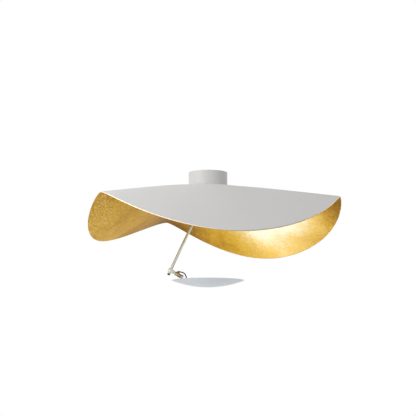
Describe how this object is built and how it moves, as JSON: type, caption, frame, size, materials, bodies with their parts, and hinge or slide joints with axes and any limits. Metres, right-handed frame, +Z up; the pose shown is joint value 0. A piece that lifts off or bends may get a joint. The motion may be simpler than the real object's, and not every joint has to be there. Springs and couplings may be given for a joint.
{
  "type": "flush mount ceiling light",
  "caption": "Flush ceiling light with a three-lobed folded round shade lined in gold leaf and a small dish lamp on a tilting arm that lights it from below.",
  "frame": {"origin": "on the ceiling, on the axis of the round canopy", "axes": "+Z up into the ceiling, -Y towards the front as pictured, +X to the right"},
  "size_m": [0.5662, 0.5494, 0.2609],
  "materials": {
    "zinc_steel": "satin",
    "canopy_lacquer": "satin",
    "driver_plastic": "matte",
    "white_plastic": "satin",
    "shade_lacquer": "matte",
    "gold_leaf": "satin",
    "black_rubber": "matte",
    "black_cable": "satin",
    "nickel": "satin",
    "dark_cap": "satin",
    "brass": "polished",
    "copper": "satin",
    "dish_lacquer": "satin",
    "opal": "satin",
    "bare_aluminium": "satin",
    "board": "satin",
    "chips": "gloss"
  },
  "bodies": {
    "base": {"ceiling_plate": "zinc_steel", "canopy_cup": "canopy_lacquer", "canopy_screws": "zinc_steel", "led_driver": "driver_plastic", "driver_screws": "zinc_steel", "terminal_block": "white_plastic", "terminal_screws": "zinc_steel", "block_screws": "zinc_steel", "earth_screw": "brass", "threaded_nipple": "zinc_steel", "nipple_washer": "zinc_steel", "nipple_nut": "zinc_steel", "shade_shell": "shade_lacquer", "gold_leaf_lining": "gold_leaf", "clamp_pad": "black_rubber", "clamp_disc": "nickel", "swivel_washer_upper": "white_plastic", "swivel_washer_lower": "white_plastic", "swivel_nut": "nickel"},
    "swivel": {"swivel_fork": "nickel", "pivot_screw": "nickel", "pivot_nut": "nickel", "pivot_washers": "white_plastic"},
    "arm": {"arm_eye": "nickel", "arm_rod": "nickel", "arm_end_cap": "dark_cap", "knuckle_fork": "nickel", "knuckle_set_screw": "dark_cap", "knuckle_screw": "nickel", "knuckle_nut": "nickel"},
    "knuckle": {"knuckle_tongue": "nickel", "barrel_nut": "nickel", "barrel_washer": "zinc_steel"},
    "head": {"barrel_sleeve": "brass", "barrel_ferrule": "copper", "head_bracket": "nickel", "foot_screws": "zinc_steel", "foot_backplate": "zinc_steel", "cable_loop": "black_cable", "cable_grommet": "black_rubber", "dish": "dish_lacquer", "dish_cover": "dish_lacquer", "cover_screws": "zinc_steel", "diffuser": "opal", "diffuser_ring": "white_plastic", "ring_screws": "zinc_steel", "heat_spreader": "bare_aluminium", "led_board": "board", "board_screws": "zinc_steel", "led_chips": "chips"}
  },
  "joints": [
    {"name": "arm_swivel", "type": "hinge", "parent": "base", "child": "swivel", "pos_m": [0, 0, -0.0405], "axis": [0, 0, 1], "range_deg": [-170, 170]},
    {"name": "arm_tilt", "type": "hinge", "parent": "swivel", "child": "arm", "pos_m": [-0.0035, 0, -0.0505], "axis": [0, 1, 0], "range_deg": [-40, 30]},
    {"name": "head_tilt", "type": "hinge", "parent": "arm", "child": "knuckle", "pos_m": [-0.07839, 0, -0.22657], "axis": [0, 1, 0], "range_deg": [-40, 40]},
    {"name": "head_roll", "type": "hinge", "parent": "knuckle", "child": "head", "pos_m": [-0.07839, 0, -0.22657], "axis": [0.8572, 0, -0.515], "range_deg": [-45, 45]}
  ]
}
